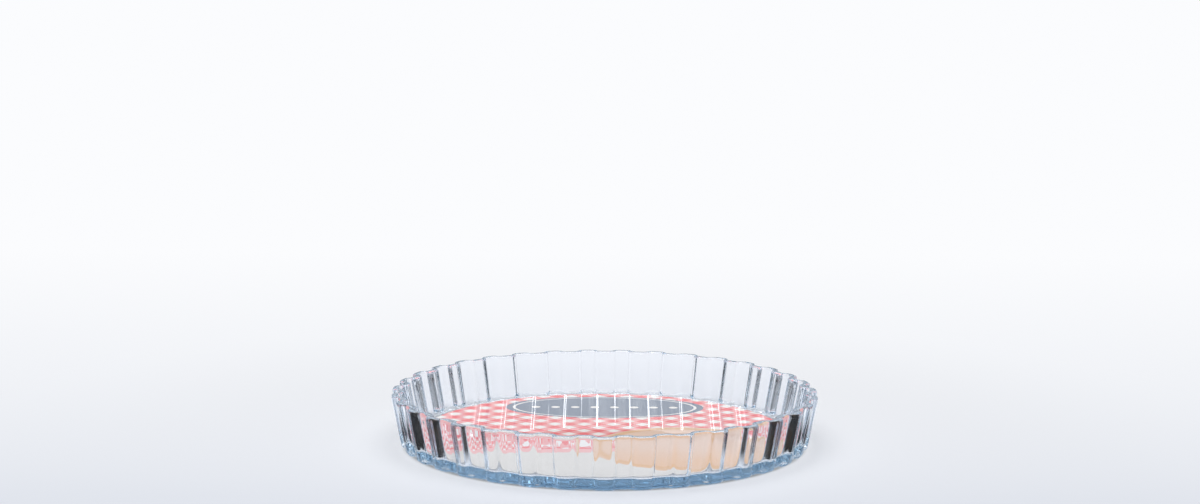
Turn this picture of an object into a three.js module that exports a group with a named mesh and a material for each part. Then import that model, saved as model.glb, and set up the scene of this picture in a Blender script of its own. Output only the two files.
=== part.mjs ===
// Fluted round baking dish of pressed clear glass, with a printed paper label on its floor.
// Millimetres, +Z up. The origin is on the dish's axis, at the level that its foot ring stands on.
import * as THREE from 'three';
import { mergeVertices } from 'three/addons/utils/BufferGeometryUtils.js';

// Sizes of the glass, with radii taken at the crown of a flute
const RIM_RADIUS = 140;
const BASE_RADIUS = 134;
const DISH_HEIGHT = 35;
const WALL_THICKNESS = 5;
const FLOOR_THICKNESS = 5;
const BASE_CORNER_RADIUS = 3;
const FLOOR_FILLET_RADIUS = 3;

// The flutes are a squarish wave that runs round the wall, with a crown at the front of the dish
const FLUTE_COUNT = 35;
const RIM_FLUTE_DEPTH = 4.2;
const FOOT_FLUTE_DEPTH = 2.8;
const FULL_FLUTE_LEVEL = 10;
const FLUTE_SHARPNESS = 1.25;
const POINTS_PER_FLUTE = 8;
const CORNER_STEPS = 2;
const LIP_STEPS = 4;

// The floor's underside is recessed inside the foot ring that the dish stands on
const FOOT_RING_WIDTH = 7;
const RECESS_DEPTH = 1.2;
const RECESS_DRAFT = 0.6;

// The label and the dab of adhesive in the middle that holds it
const LABEL_THICKNESS = 0.35;
const LABEL_EDGE_CLEARANCE = 2;
const ADHESIVE_THICKNESS = 0.1;
const ADHESIVE_RADIUS = 30;
const DISC_SIDES = 96;

// Levels and radii that follow from the sizes above
const floorTop = RECESS_DEPTH + FLOOR_THICKNESS;
const footEdgeRadius = BASE_RADIUS - BASE_CORNER_RADIUS;
const recessMouthRadius = footEdgeRadius - FOOT_RING_WIDTH;
const recessRadius = recessMouthRadius - RECESS_DRAFT;

// The wall leans out in a straight line from the base's rounded corner to the rounded lip
const wallLean = Math.atan2(RIM_RADIUS - BASE_RADIUS, DISH_HEIGHT - BASE_CORNER_RADIUS);
const wallAcross = WALL_THICKNESS / Math.cos(wallLean);
const lipRadius = wallAcross / 2;
const lipLevel = DISH_HEIGHT - lipRadius;
const wallSlope = (RIM_RADIUS - BASE_RADIUS) / (lipLevel - BASE_CORNER_RADIUS);

const outerRadius = (height) => BASE_RADIUS + wallSlope * (height - BASE_CORNER_RADIUS);
const innerRadius = (height) => outerRadius(height) - wallAcross;

// The flutes deepen quickly above the foot and then keep their depth up to the rim
function fluteDepth(height) {
  const rise = THREE.MathUtils.smoothstep(height, 0, FULL_FLUTE_LEVEL);
  return THREE.MathUtils.lerp(FOOT_FLUTE_DEPTH, RIM_FLUTE_DEPTH, rise);
}

// The round, level part of the floor lies inside the hollow corner at its edge
const filletTop = floorTop + FLOOR_FILLET_RADIUS;
const filletCentreRadius = innerRadius(filletTop) - FLOOR_FILLET_RADIUS;
const floorRadius = filletCentreRadius - fluteDepth(filletTop);
const labelRadius = floorRadius - LABEL_EDGE_CLEARANCE;

// One point of the dish's section: crown radius, height, and how deep the flutes are there
function station(radius, height, depth) {
  return { radius, height, depth };
}

// Points on a rounded edge, from one angle to another in degrees, counted from straight outwards
function roundedEdge(centreRadius, centreHeight, radius, fromAngle, toAngle, steps) {
  const stations = [];
  for (let step = 0; step <= steps; step += 1) {
    const angle = THREE.MathUtils.degToRad(THREE.MathUtils.lerp(fromAngle, toAngle, step / steps));
    const height = centreHeight + radius * Math.sin(angle);
    stations.push(station(centreRadius + radius * Math.cos(angle), height, fluteDepth(height)));
  }
  return stations;
}

// The hollow corner between the wall's inside and the floor, where the flutes die out
function floorFillet() {
  const wallDepth = fluteDepth(filletTop);
  const halfAngle = Math.PI / 4;
  const middleRadius = filletCentreRadius + FLOOR_FILLET_RADIUS * Math.sin(halfAngle);
  const middleLevel = filletTop - FLOOR_FILLET_RADIUS * Math.cos(halfAngle);
  return [
    station(innerRadius(filletTop), filletTop, wallDepth),
    station(middleRadius, middleLevel, wallDepth),
    station(floorRadius, floorTop, 0),
  ];
}

// The whole section, from the middle of the underside, round the wall, to the middle of the floor
function dishSection() {
  return [
    station(0, RECESS_DEPTH, 0),
    station(recessRadius, RECESS_DEPTH, 0),
    station(recessMouthRadius, 0, 0),
    ...roundedEdge(footEdgeRadius, BASE_CORNER_RADIUS, BASE_CORNER_RADIUS, -90, 0, CORNER_STEPS),
    station(outerRadius(FULL_FLUTE_LEVEL), FULL_FLUTE_LEVEL, fluteDepth(FULL_FLUTE_LEVEL)),
    ...roundedEdge(RIM_RADIUS - lipRadius, lipLevel, lipRadius, 0, 180, LIP_STEPS),
    ...floorFillet(),
    station(0, floorTop, 0),
  ];
}

// The flute wave, from 1 on a crown to -1 in a trough, for a turn counted in flutes
function fluteCrest(turn) {
  return Math.tanh(FLUTE_SHARPNESS * Math.cos(turn * 2 * Math.PI)) / Math.tanh(FLUTE_SHARPNESS);
}

// Turns a section about the Z axis and draws each point in by its share of the flute wave
function flutedBody(section) {
  const outline = section.map((point) => new THREE.Vector2(point.radius, point.height));
  const geometry = new THREE.LatheGeometry(outline, FLUTE_COUNT * POINTS_PER_FLUTE);
  geometry.deleteAttribute('normal');
  geometry.deleteAttribute('uv');
  geometry.rotateX(Math.PI / 2);
  const position = geometry.getAttribute('position');
  for (let index = 0; index < position.count; index += 1) {
    const turn = Math.floor(index / section.length) / POINTS_PER_FLUTE;
    const { radius, depth } = section[index % section.length];
    const drawnIn = depth * (1 - fluteCrest(turn)) / 2;
    const angle = (turn / FLUTE_COUNT) * 2 * Math.PI;
    position.setX(index, (radius - drawnIn) * Math.sin(angle));
    position.setY(index, -(radius - drawnIn) * Math.cos(angle));
  }
  return mergeVertices(geometry);
}

// A flat disc that lies level, with its lower face at the given height
function levelDisc(radius, thickness, lowLevel) {
  const geometry = new THREE.CylinderGeometry(radius, radius, thickness, DISC_SIDES);
  geometry.rotateX(Math.PI / 2);
  geometry.translate(0, 0, lowLevel + thickness / 2);
  return geometry;
}

function namedMesh(name, geometry, settings) {
  const mesh = new THREE.Mesh(geometry, new THREE.MeshStandardMaterial(settings));
  mesh.name = name;
  return mesh;
}

// One pressed piece of glass: fluted wall, floor and foot ring
function glassDish() {
  const clearGlass = { color: 0xcfe3f2, roughness: 0.04, metalness: 0, transparent: true, opacity: 0.35 };
  return namedMesh('glass_dish', flutedBody(dishSection()), clearGlass);
}

// Peelable dab between the floor and the middle of the label
function labelAdhesive() {
  const dab = levelDisc(ADHESIVE_RADIUS, ADHESIVE_THICKNESS, floorTop);
  return namedMesh('label_adhesive', dab, { color: 0xf1efe6, roughness: 0.5, metalness: 0 });
}

// Paper disc that lies on the floor, printed on its upper side
function paperLabel() {
  const paper = levelDisc(labelRadius, LABEL_THICKNESS, floorTop + ADHESIVE_THICKNESS);
  return namedMesh('paper_label', paper, { color: 0xe58f92, roughness: 0.2, metalness: 0 });
}

const bakingDish = new THREE.Group();
bakingDish.add(glassDish(), labelAdhesive(), paperLabel());

export default bakingDish;
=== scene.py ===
"""Looks of the fluted glass baking dish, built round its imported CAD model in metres, +Z up."""
import math

import bmesh
import bpy
from bpy.props import FloatProperty, FloatVectorProperty, IntProperty, PointerProperty
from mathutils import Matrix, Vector


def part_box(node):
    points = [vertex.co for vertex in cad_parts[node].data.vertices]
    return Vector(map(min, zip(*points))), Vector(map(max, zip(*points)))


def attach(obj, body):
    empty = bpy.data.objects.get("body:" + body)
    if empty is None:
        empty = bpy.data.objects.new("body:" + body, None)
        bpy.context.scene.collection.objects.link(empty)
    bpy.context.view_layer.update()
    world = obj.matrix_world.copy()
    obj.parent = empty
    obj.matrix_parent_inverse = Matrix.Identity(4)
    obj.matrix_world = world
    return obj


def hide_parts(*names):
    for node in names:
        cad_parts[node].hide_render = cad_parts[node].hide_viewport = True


bl_info = {
    "name": "Round baking dish",
    "version": (1, 0, 0),
    "blender": (4, 5, 0),
    "location": "View3D > Sidebar > Baking dish",
    "description": "Models a fluted glass baking dish, its printed label and a plain studio",
    "category": "Object",
}

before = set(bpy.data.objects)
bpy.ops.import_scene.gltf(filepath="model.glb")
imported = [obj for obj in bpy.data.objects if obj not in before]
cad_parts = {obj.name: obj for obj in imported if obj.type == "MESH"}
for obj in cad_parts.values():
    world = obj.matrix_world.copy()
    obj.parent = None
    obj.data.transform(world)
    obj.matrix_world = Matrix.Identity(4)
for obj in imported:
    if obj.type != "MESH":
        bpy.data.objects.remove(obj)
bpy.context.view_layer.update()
glass_low, glass_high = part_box("glass_dish")
film_low, film_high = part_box("label_adhesive")
paper_low, paper_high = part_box("paper_label")

BODY = "root"
MERGE_DISTANCE = 2e-6
JOIN_DISTANCE = 1e-5
LIGHT_BOUNCES = 96

# Rows of the glass section: sizes in metres, shares of a radius, and counts of steps
SEED_SIZE = 0.001
CEILING_RADII = (0.0, 0.04, 0.08)
CEILING_MARGIN = 0.006
EDGE_ROUND = 0.0003
GROOVE_INSETS = (0.0011, 0.0022)
GROOVE_MARGIN = 0.0008
LOW_WALL_TOP = 0.011
HIGH_WALL_START = 0.0095
FLOOR_SHARES = (0.97, 0.9, 0.7, 0.35, 0.0)
CORNER_STEPS = 8
LOW_WALL_STEPS = 5
HIGH_WALL_STEPS = 6
LIP_STEPS = 14
INNER_WALL_STEPS = 5
FILLET_STEPS = 8
GLASS_SMOOTH_ANGLE = math.radians(50)

# The glass's surface: scales of the noise, height of a ripple, colours and the roughness of a smear
RIPPLE_SCALE = 45.0
RIPPLE_HEIGHT = 0.0004
SMEAR_SCALE = 140.0
SMEAR_RANGE = (0.45, 0.8)
SMEAR_ROUGHNESS = 0.02
BARE_GLASS = (0.95, 0.962, 1.0, 1.0)
SMEARED_GLASS = (0.968, 0.976, 1.0, 1.0)

# The two thin discs: sides, softened edges, and the share of its space that the film leaves free
DISC_SIDES = 192
DISC_SMOOTH_ANGLE = math.radians(10)
EDGE_SEGMENTS = 2
LABEL_EDGE = 0.0001
FILM_EDGE = 0.00001
FILM_SPARE = 0.2

# The film's surface, with streaks that run from front to back
FILM_COLOUR = (0.95, 0.94, 0.9, 1.0)
FILM_ROUGHNESS = (0.4, 0.6)
FILM_ALPHA = (0.01, 0.06)
STREAK_STRETCH = 8
STREAK_SCALE = 60.0
STREAK_RANGE = (0.45, 0.75)

# Places on the label, in metres from its middle, and how soft the edges of its print are
CHECK_START = (-0.0575, 0.0336)
STRIPE_INK = 0.7
HEM_LEVEL = -0.0451
HEM_SOFTNESS = 0.0004
HEM_INK = 0.55
PANEL_LEVEL = -0.055
PANEL_SOFTNESS = 0.0005
ROUND_PLACE = (0.05, -0.042)
ROUND_RADIUS = 0.05825
ROUND_SOFTNESS = 0.00075
ROUND_EDGE = (0.0515, 0.0565)
ROUND_EDGE_SOFTNESS = 0.0015
ROUND_EDGE_INK = 0.55
ROUND_SHADE = (-0.105, -0.02)
SHADE_WANDER = 0.03
EDGE_WANDER = 0.004
OVAL_LEVEL = 0.077
OVAL_HALF_SIZE = (0.068, 0.034)
PIPING = (0.9, 0.93)
BEAD_PITCH = 0.0135
BEAD_SHARE = 0.22
BEAD_ROW_HALF = 0.054

# The label's surface: scales of the noise, how much it mottles each ink, and finish of paper and print
MOTTLE_SCALE = 900.0
FIBRE_SCALE = 2600.0
WANDER_SCALE = 28.0
CLOTH_MOTTLE = 0.2
HEM_MOTTLE = 0.1
ROUND_MOTTLE = 0.15
PAPER_ROUGHNESS = 0.6
PRINT_ROUGHNESS = (0.01, 0.03)
PRINT_DEPTH = 0.00002
FIBRE_HEIGHT = 0.00002
PAPER_INDEX = 1.5

# The floor: its gradient from front to back, which is painted shade, reaches in metres from the dish's axis
# for the painted contact shadow, the painted shade under the dish and the painted dark patches beside it,
# and brightnesses
FLOOR_SIZE = 60
FLOOR_CELLS = 8
GRADIENT_START = -0.15
GRADIENT_LENGTH = 0.95
GRADIENT_SOFTNESS = 0.04
GRADIENT_POWER = 0.42
CLOSE_REACH = (0.2, 0.35)
PAINTED_CONTACT_REACH = (0.129, 0.1345)
PAINTED_UNDER_REACH = (0.125, 0.14)
DARK_PATCH_EDGE = (0.138, 0.143)
DARK_PATCH_SIDE = (0.1, 0.125)
DARK_PATCH_BACK = (0.0, 0.05)
FAR_GLOW_REACH = (0.15, 0.45)
UNDER_GLOW_REACH = (0.13, 0.142)
PAINTED_CONTACT_SHADE = 0.3
PAINTED_UNDER_SHADE = 0.4
NEAR_GLOW = 0.4
UNDER_GLOW = 0.9

# Surroundings: degrees turned from straight back, the sine of the elevation, and brightnesses
WALL_SOFTNESS = 4.0
STRIP_TURN = (12.2, 15.5)
STRIP_TURN_SOFTNESS = 0.3
STRIP_RISE = (0.14, 0.42)
STRIP_RISE_SOFTNESS = 0.02
WALL_TOP = (0.35, 0.5)
SIDES_START = (0.12, 0.3)
FIELD_TURN = (-70.0, 70.0)
FIELD_SOFTNESS = 10.0
FIELD_TOP = (0.35, 0.6)
FIELD_REST = 0.4
OUTSIDE_SHARE = 0.2

# Soft lamps: name, place and size in metres, and power in watts
SOFTBOXES = (
    ("softbox_top", (0.0, -0.1, 1.6), (2.2, 1.8), 30.5),
    ("softbox_front", (-0.4, -1.5, 1.3), (1.4, 0.9), 11.0),
)

# The camera, fitted to the outlines in the photograph
CAMERA_PLACE = (0, -1.656, 0.385)
CAMERA_PITCH = math.radians(90 - 8.86)
CAMERA_ROLL = math.radians(0.33)
CAMERA_SHIFT = -0.0046
SENSOR_WIDTH = 36
CLIP_END = 200


def smooth_step(share):
    return share * share * (3 - 2 * share)


def length(name, description, default):
    return FloatProperty(name=name, description=description, default=default, unit="LENGTH", precision=5)


def number(name, description, default):
    return FloatProperty(name=name, description=description, default=default)


def colour(name, description, default):
    return FloatVectorProperty(
        name=name, description=description, default=default, subtype="COLOR", min=0, max=1)


class GlassSettings(bpy.types.PropertyGroup):
    """Sizes and finish of the glass dish, with radii at the crown of a flute."""

    rim_radius: length("Rim radius", "Radius over the rim", -glass_low.y)
    height: length("Height", "Height of the rim over the table", glass_high.z)
    base_radius: length("Base radius", "Radius at the top of the base's rounded corner", 0.134)
    wall: length("Wall", "Thickness of the wall", 0.005)
    floor_top: length("Floor level", "Height of the floor's upper face", film_low.z)
    base_corner: length("Base corner", "Radius of the corner between wall and foot", 0.003)
    floor_fillet: length("Floor fillet", "Radius of the hollow corner inside", 0.003)
    foot_width: length("Foot width", "Width of the foot ring", 0.007)
    recess: length("Recess", "Depth of the recess inside the foot ring", 0.0012)
    draft: length("Recess draft", "How far the recess narrows towards its ceiling", 0.0006)
    flutes: IntProperty(name="Flutes", description="Number of flutes round the wall", default=35, min=3)
    columns: IntProperty(name="Columns", description="Points across each flute, an even number", default=36)
    rim_depth: length("Rim flute depth", "Depth of the flutes at the rim", 0.0042)
    foot_depth: length("Foot flute depth", "Depth of the flutes at the foot", 0.0028)
    full_level: length("Full flute level", "Height at which the flutes reach their full depth", 0.010)
    sharpness: number("Flute sharpness", "How square the wave of the flutes is", 2.3)
    lip_fullness: number("Lip fullness", "2 is a round lip, more is squarer", 4.0)
    groove: length("Foot groove", "Depth of the fine grooves under the foot ring", 0.0006)
    tint: colour("Tint", "Colour that light takes on inside the glass", (0.26, 0.50, 0.66))
    tint_density: number("Tint density", "Strength of the tint per metre", 9.5)
    index: number("Refractive index", "Refractive index of the glass", 1.474)


class LabelSettings(bpy.types.PropertyGroup):
    """Sizes and inks of the printed paper label on the floor."""

    radius: length("Radius", "Radius of the label", paper_high.x)
    dab_radius: length("Dab radius", "Radius of the dab of adhesive", film_high.x)
    check: length("Check", "Repeat of the gingham across its stripes", 0.0138)
    paper: colour("Paper", "Colour of the bare paper", (0.93, 0.92, 0.91))
    red: colour("Red", "Ink of the gingham", (0.9, 0.12, 0.14))
    slate: colour("Slate", "Ink of the oval", (0.17, 0.22, 0.31))
    cream: colour("Cream", "Ink of the plain panel", (0.74, 0.72, 0.69))
    crust: colour("Crust", "Lighter ink of the peach round", (0.83, 0.60, 0.48))
    toast: colour("Toast", "Darker ink of the peach round", (0.78, 0.43, 0.20))
    edge: colour("Edge", "Ink of the peach round's edge", (0.72, 0.36, 0.09))


class StageSettings(bpy.types.PropertyGroup):
    """Floor, light and camera."""

    # The front floor colour is painted shade: the floor's colour runs from it to the back floor colour
    floor_front_painted_shade: colour("Front floor", "Colour of the floor in front of the dish", (0.71, 0.744, 0.816))
    floor_back: colour("Back floor", "Colour of the floor far behind the dish", (0.965, 0.972, 0.99))
    spread: number("Spread", "Half the angle of the backdrop, in degrees", 45.0)
    backdrop: number("Backdrop", "Brightness of the wall behind", 0.8)
    strip: number("Strip", "Brightness of the strip light behind", 4.5)
    sides: number("Sides", "Brightness of the room at the sides", 0.65)
    # The shade level is the brightness of the painted dark patches on the floor beside the dish, which only
    # reflections see, and the least brightness of the room
    shade: number("Shade", "Brightness of the dark flags beside the dish", 0.03)
    clear: number("Clear", "Brightness of what shows through the glass", 1.2)
    lens: number("Lens", "Focal length on a 36 mm sensor, in millimetres", 77.13)


class Wire:
    """A socket that Python arithmetic can work on, by adding Math nodes."""

    def __init__(self, graph, socket):
        self.graph = graph
        self.socket = socket

    def maths(self, operation, *values):
        node = self.graph.add("ShaderNodeMath", {"operation": operation}, dict(enumerate(values)))
        return Wire(self.graph, node.outputs[0])

    def __add__(self, other):
        return self.maths("ADD", self, other)

    __radd__ = __add__

    def __sub__(self, other):
        return self.maths("SUBTRACT", self, other)

    def __rsub__(self, other):
        return self.maths("SUBTRACT", other, self)

    def __mul__(self, other):
        return self.maths("MULTIPLY", self, other)

    def __truediv__(self, other):
        return self.maths("DIVIDE", self, other)

    def __pow__(self, other):
        return self.maths("POWER", self, other)

    def __abs__(self):
        return self.maths("ABSOLUTE", self)

    def __lt__(self, other):
        return self.maths("LESS_THAN", self, other)

    def __gt__(self, other):
        return self.maths("GREATER_THAN", self, other)

    def __and__(self, other):
        return self.maths("MINIMUM", self, other)

    def __or__(self, other):
        return self.maths("MAXIMUM", self, other)

    def fraction(self):
        return self.maths("FRACT", self)

    def length_with(self, other):
        return self.maths("SQRT", self * self + other * other)


class Graph:
    """The nodes of one material or world."""

    def __init__(self, owner):
        owner.use_nodes = True
        self.tree = owner.node_tree
        self.tree.nodes.clear()

    def add(self, kind, settings=None, sockets=None):
        """Adds a node, makes its settings, then sets or links its sockets."""
        node = self.tree.nodes.new(kind)
        for name, value in (settings or {}).items():
            setattr(node, name, value)
        for key, value in (sockets or {}).items():
            if isinstance(value, Wire):
                self.tree.links.new(value.socket, node.inputs[key])
            else:
                node.inputs[key].default_value = value
        return node

    def wire(self, node, output=0):
        return Wire(self, node.outputs[output])

    def object_place(self):
        place = self.add("ShaderNodeTexCoord")
        return self.wire(place, "Object")

    def axes(self, vector):
        parts = self.add("ShaderNodeSeparateXYZ", None, {0: vector})
        return tuple(self.wire(parts, index) for index in range(3))

    def noise(self, vector, scale, detail=2.0, roughness=0.5):
        sockets = {"Vector": vector, "Scale": scale, "Detail": detail, "Roughness": roughness}
        return self.wire(self.add("ShaderNodeTexNoise", None, sockets))

    def blend(self, factor, first, second):
        """Mixes two colours by a factor from 0 to 1."""
        sockets = {0: factor, 6: first, 7: second}
        return self.wire(self.add("ShaderNodeMix", {"data_type": "RGBA"}, sockets), 2)

    def blend_value(self, factor, first, second):
        """Mixes two numbers by a factor from 0 to 1."""
        sockets = {0: factor, 2: first, 3: second}
        return self.wire(self.add("ShaderNodeMix", {"data_type": "FLOAT"}, sockets))

    def ramp(self, value, low, high, from_value=0.0, to_value=1.0):
        """Maps a value smoothly between two levels."""
        settings = {"interpolation_type": "SMOOTHSTEP"}
        sockets = {"Value": value, 1: low, 2: high, 3: from_value, 4: to_value}
        return self.wire(self.add("ShaderNodeMapRange", settings, sockets))

    def below(self, value, level, soft):
        """1 under a level and 0 over it, with a soft edge."""
        return self.ramp(value, level - soft, level + soft, 1.0, 0.0)

    def window(self, value, low, high, soft):
        """1 between two levels and 0 outside them, with soft edges."""
        return self.ramp(value, low - soft, low + soft) * self.below(value, high, soft)

    def bump(self, height, strength, distance):
        sockets = {"Height": height, "Strength": strength, "Distance": distance}
        return self.wire(self.add("ShaderNodeBump", None, sockets))

    def output(self, surface, volume=None, kind="ShaderNodeOutputMaterial"):
        node = self.add(kind, None, {"Surface": self.wire(surface)})
        if volume:
            self.tree.links.new(volume.outputs[0], node.inputs["Volume"])


def opaque(rgb):
    return (*rgb, 1.0)


def new_material(name):
    material = bpy.data.materials.new(name)
    return material, Graph(material)


def glass_material(settings):
    """Clear pressed glass with a blue tint in its depth, faint ripples and light smears."""
    material, graph = new_material("dish_clear_glass")
    place = graph.object_place()
    ripple = graph.noise(place, RIPPLE_SCALE)
    smear = graph.noise(place, SMEAR_SCALE, detail=4.0, roughness=0.6)
    shader = graph.add("ShaderNodeBsdfPrincipled", None, {
        "Base Color": graph.blend(smear, BARE_GLASS, SMEARED_GLASS),
        "Roughness": graph.ramp(smear, *SMEAR_RANGE, 0.0, SMEAR_ROUGHNESS),
        "IOR": settings.index,
        "Transmission Weight": 1.0,
        "Normal": graph.bump(ripple, strength=0.12, distance=RIPPLE_HEIGHT),
    })
    depth = graph.add("ShaderNodeVolumeAbsorption", None, {
        "Color": opaque(settings.tint),
        "Density": settings.tint_density,
    })
    graph.output(shader, depth)
    return material


def gingham(across, along, settings):
    """Share of red ink in a check turned by 45 degrees, which is full where its stripes cross."""
    turned = math.sqrt(0.5) / settings.check
    warp = ((across + along) * turned).fraction() < 0.5
    weft = ((across - along) * turned).fraction() < 0.5
    return (warp | weft) * STRIPE_INK + (warp & weft) * (1 - STRIPE_INK)


def label_material(settings):
    """Coated paper with a red gingham, a slate oval, a cream panel and a plain peach round."""
    material, graph = new_material("dish_printed_paper")
    place = graph.object_place()
    across, along, up = graph.axes(place)
    mottle = graph.noise(place, MOTTLE_SCALE, detail=3.0)
    fibre = graph.noise(place, FIBRE_SCALE, detail=3.0, roughness=0.6)

    cloth = gingham(across - CHECK_START[0], along - CHECK_START[1], settings)
    cloth = cloth * (1 - CLOTH_MOTTLE / 2 + mottle * CLOTH_MOTTLE)
    hem = graph.below(along, HEM_LEVEL, HEM_SOFTNESS)
    cloth = graph.blend_value(hem, cloth, HEM_INK + mottle * HEM_MOTTLE)
    print_colour = graph.blend(cloth, opaque(settings.paper), opaque(settings.red))

    panel = graph.below(along, PANEL_LEVEL, PANEL_SOFTNESS)
    print_colour = graph.blend(panel, print_colour, opaque(settings.cream))

    from_round = (across - ROUND_PLACE[0]).length_with(along - ROUND_PLACE[1])
    wander = graph.noise(place, WANDER_SCALE) - 0.5
    paler = graph.ramp(along + wander * SHADE_WANDER, *ROUND_SHADE)
    paler = paler * (1 - ROUND_MOTTLE) + mottle * ROUND_MOTTLE
    round_colour = graph.blend(paler, opaque(settings.toast), opaque(settings.crust))
    edge = graph.window(from_round + wander * EDGE_WANDER, *ROUND_EDGE, ROUND_EDGE_SOFTNESS)
    round_colour = graph.blend(edge * ROUND_EDGE_INK, round_colour, opaque(settings.edge))
    inside_round = graph.below(from_round, ROUND_RADIUS, ROUND_SOFTNESS)
    print_colour = graph.blend(inside_round, print_colour, round_colour)

    from_oval = along - OVAL_LEVEL
    oval = (across / OVAL_HALF_SIZE[0]).length_with(from_oval / OVAL_HALF_SIZE[1])
    print_colour = graph.blend(oval < 1.0, print_colour, opaque(settings.slate))
    piping = (oval > PIPING[0]) & (oval < PIPING[1])
    beads = ((across / BEAD_PITCH).fraction() - 0.5).length_with(from_oval / BEAD_PITCH) < BEAD_SHARE
    motif = piping | (beads & (abs(across) < BEAD_ROW_HALF))
    print_colour = graph.blend(motif, print_colour, opaque(settings.paper))

    printed = up > (paper_high.z - PRINT_DEPTH)
    print_roughness = graph.blend_value(fibre, *PRINT_ROUGHNESS)
    shader = graph.add("ShaderNodeBsdfPrincipled", None, {
        "Base Color": graph.blend(printed, opaque(settings.paper), print_colour),
        "Roughness": graph.blend_value(printed, PAPER_ROUGHNESS, print_roughness),
        "IOR": PAPER_INDEX,
        "Normal": graph.bump(fibre, strength=0.015, distance=FIBRE_HEIGHT),
    })
    graph.output(shader)
    return material


def film_material():
    """Nearly clear adhesive with brushed streaks."""
    material, graph = new_material("dish_adhesive_film")
    place = graph.object_place()
    across, along, _ = graph.axes(place)
    stretched = graph.add("ShaderNodeCombineXYZ", None, {0: across * STREAK_STRETCH, 1: along})
    streak = graph.noise(graph.wire(stretched), STREAK_SCALE, detail=3.0)
    shader = graph.add("ShaderNodeBsdfPrincipled", None, {
        "Base Color": FILM_COLOUR,
        "Roughness": graph.blend_value(streak, *FILM_ROUGHNESS),
        "Alpha": graph.ramp(streak, *STREAK_RANGE, *FILM_ALPHA),
    })
    graph.output(shader)
    return material


def clear_selection():
    """Leaves nothing selected, so that an operator acts on the new piece alone."""
    bpy.ops.object.select_all(action="DESELECT")


def select_points(mesh, chosen):
    """Selects the points of the mesh being edited whose numbers are chosen."""
    edited = bmesh.from_edit_mesh(mesh)
    for point in edited.verts:
        point.select = point.index in chosen
    edited.select_flush_mode()
    bmesh.update_edit_mesh(mesh)


def finish_piece(piece, name, material, nodes):
    """Names a piece, gives it its material and ties it to the frame."""
    piece.name = name
    piece.data.name = name
    piece.data.materials.clear()
    piece.data.materials.append(material)
    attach(piece, BODY)
    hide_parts(*nodes)


class GlassSection:
    """Points of the dish's section: crown radius, height, flute depth and depth of the foot grooves."""

    def __init__(self, settings):
        self.settings = settings
        self.points = []
        foot_edge = settings.base_radius - settings.base_corner
        self.recess_mouth = foot_edge - settings.foot_width
        self.recess_edge = self.recess_mouth - settings.draft
        run = settings.rim_radius - settings.base_radius
        lean = math.atan2(run, settings.height - settings.base_corner)
        self.wall_across = settings.wall / math.cos(lean)
        self.lip = self.wall_across / 2
        self.lip_level = settings.height - self.lip
        self.slope = run / (self.lip_level - settings.base_corner)
        self.underside()
        self.base_corner(foot_edge, settings.base_corner)
        self.straight(settings.base_corner, LOW_WALL_TOP, LOW_WALL_STEPS, 0.0)
        self.straight(HIGH_WALL_START, self.lip_level, HIGH_WALL_STEPS, 0.0)
        self.rounded_lip(settings.rim_radius - self.lip)
        fillet_top = settings.floor_top + settings.floor_fillet
        self.straight(self.lip_level, fillet_top, INNER_WALL_STEPS, self.wall_across)
        self.fillet(fillet_top)

    def add(self, radius, height, depth=0.0, groove=0.0):
        self.points.append((radius, height, depth, groove))

    def depth(self, height):
        rise = smooth_step(min(1.0, height / self.settings.full_level))
        return self.settings.foot_depth + (self.settings.rim_depth - self.settings.foot_depth) * rise

    def outer_radius(self, height):
        return self.settings.base_radius + self.slope * (height - self.settings.base_corner)

    def underside(self):
        ceiling = self.settings.recess
        groove = self.settings.groove
        ceiling_edge = (self.recess_edge - CEILING_MARGIN, self.recess_edge - EDGE_ROUND)
        for radius in CEILING_RADII + ceiling_edge:
            self.add(radius, ceiling)
        self.add(self.recess_edge + EDGE_ROUND / 3, ceiling - EDGE_ROUND)
        self.add(self.recess_mouth - EDGE_ROUND / 3, EDGE_ROUND)
        self.add(self.recess_mouth + EDGE_ROUND, 0.0)
        for inset in GROOVE_INSETS:
            self.add(self.recess_mouth + inset, 0.0, 0.0, groove)
        foot_edge = self.recess_mouth + self.settings.foot_width
        self.add(foot_edge - GROOVE_MARGIN, 0.0, self.depth(0.0), groove)

    def base_corner(self, centre, radius):
        for step in range(CORNER_STEPS + 1):
            angle = math.pi / 2 * (step / CORNER_STEPS - 1)
            height = radius + radius * math.sin(angle)
            self.add(centre + radius * math.cos(angle), height, self.depth(height))

    def rounded_lip(self, centre):
        power = 2 / self.settings.lip_fullness
        for step in range(LIP_STEPS + 1):
            angle = math.pi * step / LIP_STEPS
            out = math.copysign(abs(math.cos(angle)) ** power, math.cos(angle))
            height = self.lip_level + self.lip * abs(math.sin(angle)) ** power
            self.add(centre + self.lip * out, height, self.depth(height))

    def straight(self, start, end, steps, inset):
        for step in range(1, steps):
            height = start + (end - start) * step / steps
            self.add(self.outer_radius(height) - inset, height, self.depth(height))

    def fillet(self, top):
        radius = self.settings.floor_fillet
        wall_depth = self.depth(top)
        centre = self.outer_radius(top) - self.wall_across - radius
        for step in range(FILLET_STEPS + 1):
            share = step / FILLET_STEPS
            angle = math.pi / 2 * share
            fade = 1 - smooth_step(share)
            drawn = wall_depth * (1 - fade)
            place = centre + radius * math.cos(angle) - drawn * math.sin(angle)
            self.add(place, top - radius * math.sin(angle), wall_depth * fade)
        floor_edge = centre - wall_depth
        for share in FLOOR_SHARES:
            self.add(floor_edge * share, self.settings.floor_top)


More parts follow.
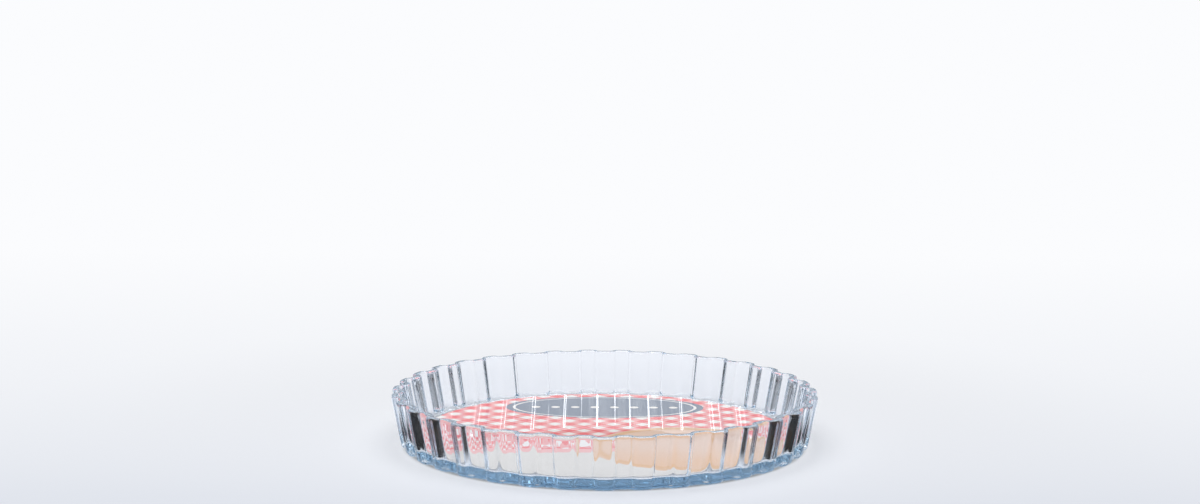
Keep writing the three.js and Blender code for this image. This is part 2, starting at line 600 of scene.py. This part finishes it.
class DISH_OT_glass(bpy.types.Operator):
    """Model the fluted glass: trace its section, spin one flute, shape it and repeat it round the dish"""

    bl_idname = "baking_dish.glass"
    bl_label = "Glass dish"

    def execute(self, context):
        settings = context.scene.baking_dish_glass
        section = GlassSection(settings).points
        flute_angle = math.tau / settings.flutes
        clear_selection()
        piece = self.trace(section)
        bpy.ops.mesh.select_all(action="SELECT")
        bpy.ops.mesh.spin(steps=settings.columns, angle=flute_angle, center=(0, 0, 0), axis=(0, 0, 1))
        bpy.ops.mesh.select_all(action="SELECT")
        bpy.ops.mesh.remove_doubles(threshold=MERGE_DISTANCE)
        self.draw_in(piece, section, settings)
        bpy.ops.object.mode_set(mode="OBJECT")
        self.repeat(piece, settings.flutes, flute_angle)
        bpy.ops.object.shade_smooth_by_angle(angle=GLASS_SMOOTH_ANGLE)
        finish_piece(piece, "dish_glass", glass_material(settings), ["glass_dish"])
        return {"FINISHED"}

    def trace(self, section):
        """Starts from one point on the axis and extrudes it along the section."""
        places = [Vector((0, -radius, height)) for radius, height, _, _ in section]
        bpy.ops.mesh.primitive_plane_add(size=SEED_SIZE, location=places[0])
        bpy.ops.object.transform_apply(location=True, rotation=True, scale=True)
        bpy.ops.object.mode_set(mode="EDIT")
        bpy.ops.mesh.select_mode(type="VERT")
        bpy.ops.mesh.select_all(action="SELECT")
        bpy.ops.mesh.merge(type="CENTER")
        for here, there in zip(places, places[1:]):
            bpy.ops.mesh.extrude_vertices_move(TRANSFORM_OT_translate={"value": there - here})
        return bpy.context.object

    def draw_in(self, piece, section, settings):
        """Draws the columns between two crowns towards the axis, and lifts the grooves under the foot."""
        columns = settings.columns
        sharpness = settings.sharpness
        step_angle = math.tau / settings.flutes / columns
        rows = {}
        for point in bmesh.from_edit_mesh(piece.data).verts:
            radius = math.hypot(point.co.x, point.co.y)
            nearest = min(range(len(section)), key=lambda row: math.hypot(
                section[row][0] - radius, section[row][1] - point.co.z))
            column = round(math.atan2(point.co.x, -point.co.y) / step_angle)
            rows.setdefault((nearest, min(column, columns - column)), set()).add(point.index)
        grooved = set()
        for (row, column), chosen in rows.items():
            radius, _, depth, groove = section[row]
            crest = math.tanh(sharpness * math.cos(math.tau * column / columns)) / math.tanh(sharpness)
            wave = (1 - crest) / 2
            if depth * wave > 0:
                select_points(piece.data, chosen)
                share = 1 - depth * wave / radius
                bpy.ops.transform.resize(value=(share, share, 1), center_override=(0, 0, 0))
            if groove > 0 and column % 2:
                grooved.update(chosen)
        select_points(piece.data, grooved)
        bpy.ops.transform.translate(value=(0, 0, settings.groove))

    def repeat(self, piece, count, angle):
        """Copies the flute round the axis and joins the copies into one closed body."""
        bpy.ops.object.empty_add(rotation=(0, 0, angle))
        pivot = bpy.context.object
        clear_selection()
        piece.select_set(True)
        bpy.context.view_layer.objects.active = piece
        ring = piece.modifiers.new("flutes", "ARRAY")
        ring.count = count
        ring.use_relative_offset = False
        ring.use_object_offset = True
        ring.offset_object = pivot
        ring.use_merge_vertices = True
        ring.use_merge_vertices_cap = True
        ring.merge_threshold = MERGE_DISTANCE
        bpy.ops.object.modifier_apply(modifier=ring.name)
        bpy.data.objects.remove(pivot)
        bpy.ops.object.mode_set(mode="EDIT")
        bpy.ops.mesh.select_all(action="SELECT")
        bpy.ops.mesh.remove_doubles(threshold=JOIN_DISTANCE)
        bpy.ops.mesh.normals_make_consistent(inside=False)
        bpy.ops.object.mode_set(mode="OBJECT")


def flat_disc(radius, low, high, edge):
    """A thin level disc with softened edges, from a circle that is filled and raised."""
    clear_selection()
    bpy.ops.mesh.primitive_circle_add(
        vertices=DISC_SIDES, radius=radius, fill_type="NGON", location=(0, 0, low))
    bpy.ops.object.transform_apply(location=True, rotation=True, scale=True)
    piece = bpy.context.object
    bpy.ops.object.mode_set(mode="EDIT")
    bpy.ops.mesh.select_all(action="SELECT")
    bpy.ops.mesh.extrude_region_move(TRANSFORM_OT_translate={"value": (0, 0, high - low)})
    bpy.ops.mesh.select_all(action="SELECT")
    bpy.ops.mesh.normals_make_consistent(inside=False)
    bpy.ops.object.mode_set(mode="OBJECT")
    soften = piece.modifiers.new("edge", "BEVEL")
    soften.width = edge
    soften.segments = EDGE_SEGMENTS
    soften.limit_method = "ANGLE"
    bpy.ops.object.modifier_apply(modifier=soften.name)
    bpy.ops.object.shade_smooth_by_angle(angle=DISC_SMOOTH_ANGLE)
    return piece


class DISH_OT_label(bpy.types.Operator):
    """Model the printed paper label on the floor"""

    bl_idname = "baking_dish.label"
    bl_label = "Printed label"

    def execute(self, context):
        settings = context.scene.baking_dish_label
        piece = flat_disc(settings.radius, paper_low.z, paper_high.z, LABEL_EDGE)
        finish_piece(piece, "label_paper", label_material(settings), ["paper_label"])
        return {"FINISHED"}


class DISH_OT_film(bpy.types.Operator):
    """Model the dab of adhesive under the middle of the label"""

    bl_idname = "baking_dish.film"
    bl_label = "Adhesive film"

    def execute(self, context):
        settings = context.scene.baking_dish_label
        spare = (film_high.z - film_low.z) * FILM_SPARE
        piece = flat_disc(settings.dab_radius, film_low.z + spare, film_high.z - spare, FILM_EDGE)
        finish_piece(piece, "label_film", film_material(), ["label_adhesive"])
        return {"FINISHED"}


def turn_from_back(across, along):
    """Degrees that a direction is turned from straight back, to the right."""
    return across.maths("ARCTAN2", across, along) * math.degrees(1)


class DISH_OT_stage(bpy.types.Operator):
    """Set up the pale floor, the soft light and the camera"""

    bl_idname = "baking_dish.stage"
    bl_label = "Stage"

    def execute(self, context):
        settings = context.scene.baking_dish_stage
        scene = context.scene
        scene.view_settings.view_transform = "Standard"
        scene.cycles.max_bounces = LIGHT_BOUNCES
        scene.cycles.glossy_bounces = LIGHT_BOUNCES
        scene.cycles.transmission_bounces = LIGHT_BOUNCES
        self.floor(settings)
        self.surroundings(scene, settings)
        self.camera(scene, settings)
        return {"FINISHED"}

    def floor(self, settings):
        """A pale floor that grows whiter towards the back, its darker front being painted shade; it glows
        where the lamps don't reach, and has a painted contact shadow at the dish's foot, painted shade
        under the dish and painted dark patches beside it that only reflections see.
        """
        clear_selection()
        bpy.ops.mesh.primitive_grid_add(
            x_subdivisions=FLOOR_CELLS, y_subdivisions=FLOOR_CELLS, size=FLOOR_SIZE)
        floor = bpy.context.object
        floor.name = "floor"
        material, graph = new_material("pale_floor")
        across, along, _ = graph.axes(graph.object_place())
        distance = across.length_with(along)
        # This gradient is painted shade, darker in front of the dish and whiter towards the back
        rise = (along - GRADIENT_START) / GRADIENT_LENGTH
        share = ((rise + rise.length_with(GRADIENT_SOFTNESS)) / 2 & 1.0) ** GRADIENT_POWER
        shaded_paint = graph.blend(share, opaque(settings.floor_front_painted_shade), opaque(settings.floor_back))
        camera, passed, reflected = self.sight(graph)
        turn = turn_from_back(across, along)
        behind = graph.window(turn, -settings.spread, settings.spread, WALL_SOFTNESS)
        close = graph.ramp(distance, *CLOSE_REACH, 1.0, 0.0)
        # Painted dark patches on the floor beside and in front of the dish, seen only in reflections
        beside = graph.ramp(along, *DARK_PATCH_BACK, 1.0, 0.0) * graph.ramp(abs(across), *DARK_PATCH_SIDE)
        painted_dark_patch = reflected * beside * graph.ramp(distance, *DARK_PATCH_EDGE)
        # Painted contact shadow: the camera sees a darker ring round the dish's foot
        painted_contact_shadow = graph.ramp(distance, *PAINTED_CONTACT_REACH, PAINTED_CONTACT_SHADE, 1.0)
        # Painted shade under the dish: what is seen through the glass there is darker
        clear = graph.ramp(distance, *PAINTED_UNDER_REACH, PAINTED_UNDER_SHADE, settings.clear)
        near = graph.add("ShaderNodeBsdfDiffuse", None, {"Color": shaded_paint})
        far = graph.add("ShaderNodeEmission", None, {
            "Color": shaded_paint,
            "Strength": camera * painted_contact_shadow | passed * clear | (behind | close) * reflected | settings.shade,
        })
        # Emission at the shade level, the painted dark of those patches
        dark = graph.add("ShaderNodeEmission", None, {"Color": shaded_paint, "Strength": settings.shade})
        far_glow = graph.ramp(distance, *FAR_GLOW_REACH, NEAR_GLOW, 1.0)
        glow = far_glow | graph.ramp(distance, *UNDER_GLOW_REACH, UNDER_GLOW, NEAR_GLOW)
        lit = self.mix_shaders(graph, glow, near, far)
        graph.output(self.mix_shaders(graph, painted_dark_patch, lit, dark))
        floor.data.materials.append(material)

    def sight(self, graph):
        """Whether a ray is the camera's own, has only passed through glass, or was reflected on its way."""
        path = graph.add("ShaderNodeLightPath")
        reflected = graph.wire(path, "Glossy Depth") > 0.5
        passed = graph.wire(path, "Is Transmission Ray") * (1 - reflected)
        return graph.wire(path, "Is Camera Ray"), passed, reflected

    def glass_sight(self, graph):
        """Whether a ray has just left the glass, and whether it was in glass at any time."""
        path = graph.add("ShaderNodeLightPath")
        inside = graph.wire(path, "Transmission Depth") > 0.5
        return graph.wire(path, "Is Transmission Ray"), inside

    def mix_shaders(self, graph, factor, first, second):
        sockets = {0: factor, 1: graph.wire(first), 2: graph.wire(second)}
        return graph.add("ShaderNodeMixShader", None, sockets)

    def surroundings(self, scene, settings):
        """White for the camera; in reflections a pale wall, a strip light and a dim room over the sides."""
        world = bpy.data.worlds.new("studio")
        scene.world = world
        graph = Graph(world)
        across, along, up = graph.axes(graph.wire(graph.add("ShaderNodeTexCoord"), "Generated"))
        turn = turn_from_back(across, along)
        behind = graph.window(turn, -settings.spread, settings.spread, WALL_SOFTNESS)
        wall = behind * graph.ramp(up, *WALL_TOP, 1.0, 0.0)
        strip_height = graph.window(up, *STRIP_RISE, STRIP_RISE_SOFTNESS)
        strip = graph.window(turn, *STRIP_TURN, STRIP_TURN_SOFTNESS) * strip_height
        camera, passed, reflected = self.sight(graph)
        through, inside = self.glass_sight(graph)
        sides = graph.ramp(up, *SIDES_START) * settings.sides
        seen = graph.blend_value(inside, settings.backdrop * OUTSIDE_SHARE, settings.backdrop)
        bright = (wall * seen | sides | strip * through * settings.strip) * reflected
        ahead = graph.window(turn, *FIELD_TURN, FIELD_SOFTNESS)
        field = ahead * graph.ramp(up, *FIELD_TOP, 1.0, 0.0) | FIELD_REST
        shader = graph.add("ShaderNodeBackground", None, {
            "Color": (1.0, 1.0, 1.0, 1.0),
            "Strength": bright | camera | passed * field * settings.clear | settings.shade,
        })
        graph.output(shader, None, "ShaderNodeOutputWorld")
        for softbox in SOFTBOXES:
            self.softbox(*softbox)

    def softbox(self, name, place, size, power):
        bpy.ops.object.light_add(type="AREA", location=place)
        lamp = bpy.context.object
        lamp.name = name
        lamp.data.shape = "RECTANGLE"
        lamp.data.size, lamp.data.size_y = size
        lamp.data.energy = power
        lamp.rotation_euler = Vector(place).to_track_quat("Z", "Y").to_euler()

    def camera(self, scene, settings):
        bpy.ops.object.camera_add(location=CAMERA_PLACE)
        camera = bpy.context.object
        camera.name = "camera"
        camera.rotation_mode = "XYZ"
        camera.rotation_euler = (CAMERA_PITCH, 0, 0)
        camera.rotation_euler.rotate_axis("Z", CAMERA_ROLL)
        camera.data.sensor_fit = "HORIZONTAL"
        camera.data.sensor_width = SENSOR_WIDTH
        camera.data.lens = settings.lens
        camera.data.shift_x = CAMERA_SHIFT
        camera.data.clip_end = CLIP_END
        scene.camera = camera


class DISH_PT_panel(bpy.types.Panel):
    """Lists the pieces and the stage"""

    bl_idname = "DISH_PT_panel"
    bl_label = "Baking dish"
    bl_space_type = "VIEW_3D"
    bl_region_type = "UI"
    bl_category = "Baking dish"

    def draw(self, context):
        for operator in PIECES:
            self.layout.operator(operator.bl_idname)


PIECES = (DISH_OT_glass, DISH_OT_label, DISH_OT_film, DISH_OT_stage)
CLASSES = (GlassSettings, LabelSettings, StageSettings, *PIECES, DISH_PT_panel)


def register():
    for entry in CLASSES:
        bpy.utils.register_class(entry)
    bpy.types.Scene.baking_dish_glass = PointerProperty(type=GlassSettings)
    bpy.types.Scene.baking_dish_label = PointerProperty(type=LabelSettings)
    bpy.types.Scene.baking_dish_stage = PointerProperty(type=StageSettings)


def unregister():
    del bpy.types.Scene.baking_dish_stage
    del bpy.types.Scene.baking_dish_label
    del bpy.types.Scene.baking_dish_glass
    for entry in reversed(CLASSES):
        bpy.utils.unregister_class(entry)


def main():
    register()
    bpy.ops.baking_dish.glass()
    bpy.ops.baking_dish.label()
    bpy.ops.baking_dish.film()
    bpy.ops.baking_dish.stage()


if __name__ == "__main__":
    main()
